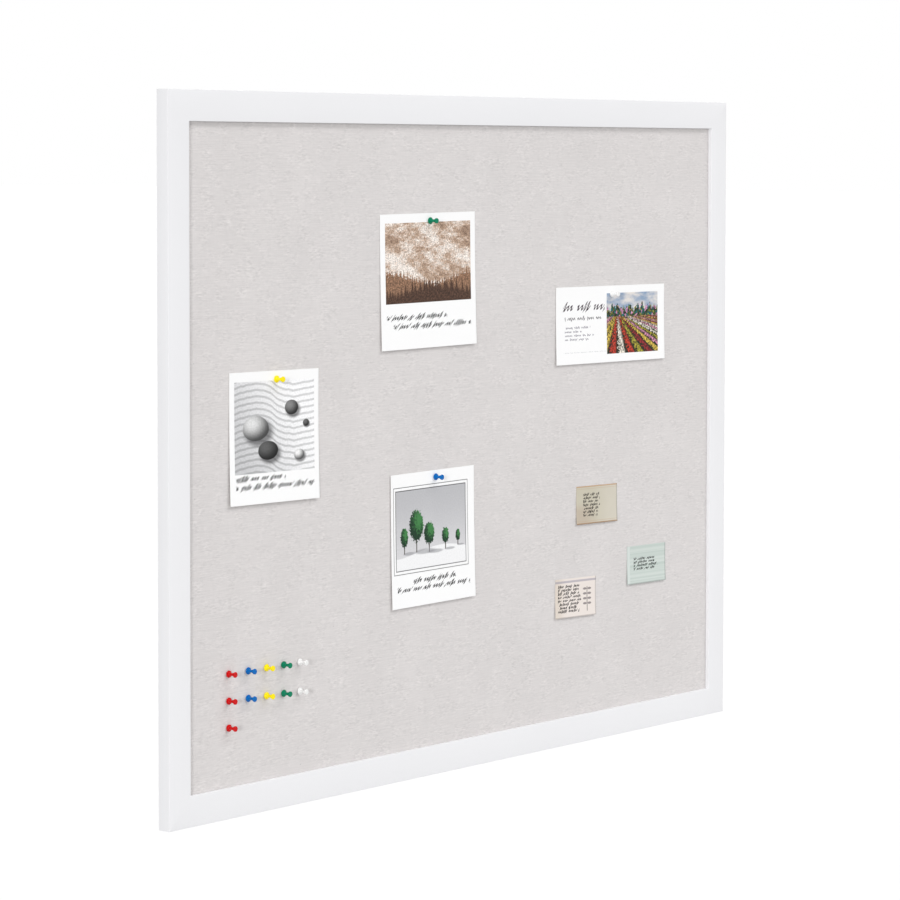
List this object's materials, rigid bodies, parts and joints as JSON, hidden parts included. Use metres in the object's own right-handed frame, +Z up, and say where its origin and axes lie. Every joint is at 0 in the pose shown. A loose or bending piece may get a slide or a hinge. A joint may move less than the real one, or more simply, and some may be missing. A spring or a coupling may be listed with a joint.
{
  "type": "cork board",
  "caption": "Framed cork board faced with linen in a white painted wooden frame, with push pins, hanging cards and stuck-on notes; it hangs on a wall by ring hangers.",
  "frame": {"origin": "on the wall plane behind the board, level with the middle of its outline", "axes": "+X to the right as seen from the front, +Z up, +Y into the wall; the face looks towards -Y"},
  "size_m": [1.2192, 0.0314, 0.9144],
  "materials": {
    "white_paint": "satin",
    "linen": "matte",
    "cork": "matte",
    "hardboard": "matte",
    "steel": "satin",
    "rubber": "matte",
    "card_paper": "matte",
    "beige_paper": "matte",
    "mint_paper": "matte",
    "cream_paper": "matte",
    "red_plastic": "gloss",
    "blue_plastic": "gloss",
    "yellow_plastic": "gloss",
    "green_plastic": "gloss",
    "white_plastic": "gloss"
  },
  "bodies": {
    "board": {"rail_top": "white_paint", "retaining_point_top": "steel", "rail_right": "white_paint", "retaining_point_right": "steel", "rail_bottom": "white_paint", "retaining_point_bottom": "steel", "rail_left": "white_paint", "retaining_point_left": "steel", "corner_nail_top_right": "steel", "corner_nail_bottom_right": "steel", "corner_nail_bottom_left": "steel", "corner_nail_top_left": "steel", "linen_cover": "linen", "cork_sheet": "cork", "backing_board": "hardboard", "hanger_strap_left": "steel", "hanger_screw_left": "steel", "bumper_left": "rubber", "hanger_strap_right": "steel", "hanger_screw_right": "steel", "bumper_right": "rubber", "note_beige": "beige_paper", "note_mint": "mint_paper", "note_cream": "cream_paper"},
    "photo_card_warm": {"photo_card_warm": "card_paper"},
    "photo_card_grey": {"photo_card_grey": "card_paper"},
    "photo_card_leaf": {"photo_card_leaf": "card_paper"},
    "greeting_card": {"greeting_card": "card_paper"},
    "pin_red_1": {"pin_red_1_head": "red_plastic", "pin_red_1_needle": "steel"},
    "pin_blue_1": {"pin_blue_1_head": "blue_plastic", "pin_blue_1_needle": "steel"},
    "pin_yellow_1": {"pin_yellow_1_head": "yellow_plastic", "pin_yellow_1_needle": "steel"},
    "pin_green_1": {"pin_green_1_head": "green_plastic", "pin_green_1_needle": "steel"},
    "pin_white_1": {"pin_white_1_head": "white_plastic", "pin_white_1_needle": "steel"},
    "pin_red_2": {"pin_red_2_head": "red_plastic", "pin_red_2_needle": "steel"},
    "pin_blue_2": {"pin_blue_2_head": "blue_plastic", "pin_blue_2_needle": "steel"},
    "pin_yellow_2": {"pin_yellow_2_head": "yellow_plastic", "pin_yellow_2_needle": "steel"},
    "pin_green_2": {"pin_green_2_head": "green_plastic", "pin_green_2_needle": "steel"},
    "pin_white_2": {"pin_white_2_head": "white_plastic", "pin_white_2_needle": "steel"},
    "pin_red_3": {"pin_red_3_head": "red_plastic", "pin_red_3_needle": "steel"},
    "pin_green_3": {"pin_green_3_head": "green_plastic", "pin_green_3_needle": "steel"},
    "pin_yellow_3": {"pin_yellow_3_head": "yellow_plastic", "pin_yellow_3_needle": "steel"},
    "pin_blue_3": {"pin_blue_3_head": "blue_plastic", "pin_blue_3_needle": "steel"},
    "pin_white_3": {"pin_white_3_head": "white_plastic", "pin_white_3_needle": "steel"},
    "ring_left": {"hanger_ring_left": "steel"},
    "ring_right": {"hanger_ring_right": "steel"}
  },
  "joints": [
    {"name": "pin_red_1_pull", "type": "slide", "parent": "board", "child": "pin_red_1", "axis": [0, -1, 0], "range_m": [0, 0.012]},
    {"name": "pin_blue_1_pull", "type": "slide", "parent": "board", "child": "pin_blue_1", "axis": [0, -1, 0], "range_m": [0, 0.012]},
    {"name": "pin_yellow_1_pull", "type": "slide", "parent": "board", "child": "pin_yellow_1", "axis": [0, -1, 0], "range_m": [0, 0.012]},
    {"name": "pin_green_1_pull", "type": "slide", "parent": "board", "child": "pin_green_1", "axis": [0, -1, 0], "range_m": [0, 0.012]},
    {"name": "pin_white_1_pull", "type": "slide", "parent": "board", "child": "pin_white_1", "axis": [0, -1, 0], "range_m": [0, 0.012]},
    {"name": "pin_red_2_pull", "type": "slide", "parent": "board", "child": "pin_red_2", "axis": [0, -1, 0], "range_m": [0, 0.012]},
    {"name": "pin_blue_2_pull", "type": "slide", "parent": "board", "child": "pin_blue_2", "axis": [0, -1, 0], "range_m": [0, 0.012]},
    {"name": "pin_yellow_2_pull", "type": "slide", "parent": "board", "child": "pin_yellow_2", "axis": [0, -1, 0], "range_m": [0, 0.012]},
    {"name": "pin_green_2_pull", "type": "slide", "parent": "board", "child": "pin_green_2", "axis": [0, -1, 0], "range_m": [0, 0.012]},
    {"name": "pin_white_2_pull", "type": "slide", "parent": "board", "child": "pin_white_2", "axis": [0, -1, 0], "range_m": [0, 0.012]},
    {"name": "pin_red_3_pull", "type": "slide", "parent": "board", "child": "pin_red_3", "axis": [0, -1, 0], "range_m": [0, 0.012]},
    {"name": "pin_green_3_pull", "type": "slide", "parent": "board", "child": "pin_green_3", "axis": [0, -1, 0], "range_m": [0, 0.012]},
    {"name": "pin_yellow_3_pull", "type": "slide", "parent": "board", "child": "pin_yellow_3", "axis": [0, -1, 0], "range_m": [0, 0.012]},
    {"name": "pin_blue_3_pull", "type": "slide", "parent": "board", "child": "pin_blue_3", "axis": [0, -1, 0], "range_m": [0, 0.012]},
    {"name": "pin_white_3_pull", "type": "slide", "parent": "board", "child": "pin_white_3", "axis": [0, -1, 0], "range_m": [0, 0.012]},
    {"name": "photo_card_warm_swing", "type": "hinge", "parent": "board", "child": "photo_card_warm", "pos_m": [-0.0919, -0.0182, 0.29], "axis": [0, -1, 0], "range_deg": [-45, 45]},
    {"name": "photo_card_grey_swing", "type": "hinge", "parent": "board", "child": "photo_card_grey", "pos_m": [-0.404, -0.0182, 0.0926], "axis": [0, -1, 0], "range_deg": [-35, 45]},
    {"name": "photo_card_leaf_swing", "type": "hinge", "parent": "board", "child": "photo_card_leaf", "pos_m": [-0.0795, -0.0182, -0.0548], "axis": [0, -1, 0], "range_deg": [-45, 45]},
    {"name": "greeting_card_swing", "type": "hinge", "parent": "board", "child": "greeting_card", "pos_m": [0.3251, -0.0182, 0.1799], "axis": [0, -1, 0], "range_deg": [-45, 45]},
    {"name": "ring_left_swing", "type": "hinge", "parent": "board", "child": "ring_left", "pos_m": [-0.5906, -0.00265, 0.2422], "axis": [1, 0, 0], "range_deg": [0, 180]},
    {"name": "ring_right_swing", "type": "hinge", "parent": "board", "child": "ring_right", "pos_m": [0.5906, -0.00265, 0.2422], "axis": [1, 0, 0], "range_deg": [0, 180]}
  ]
}
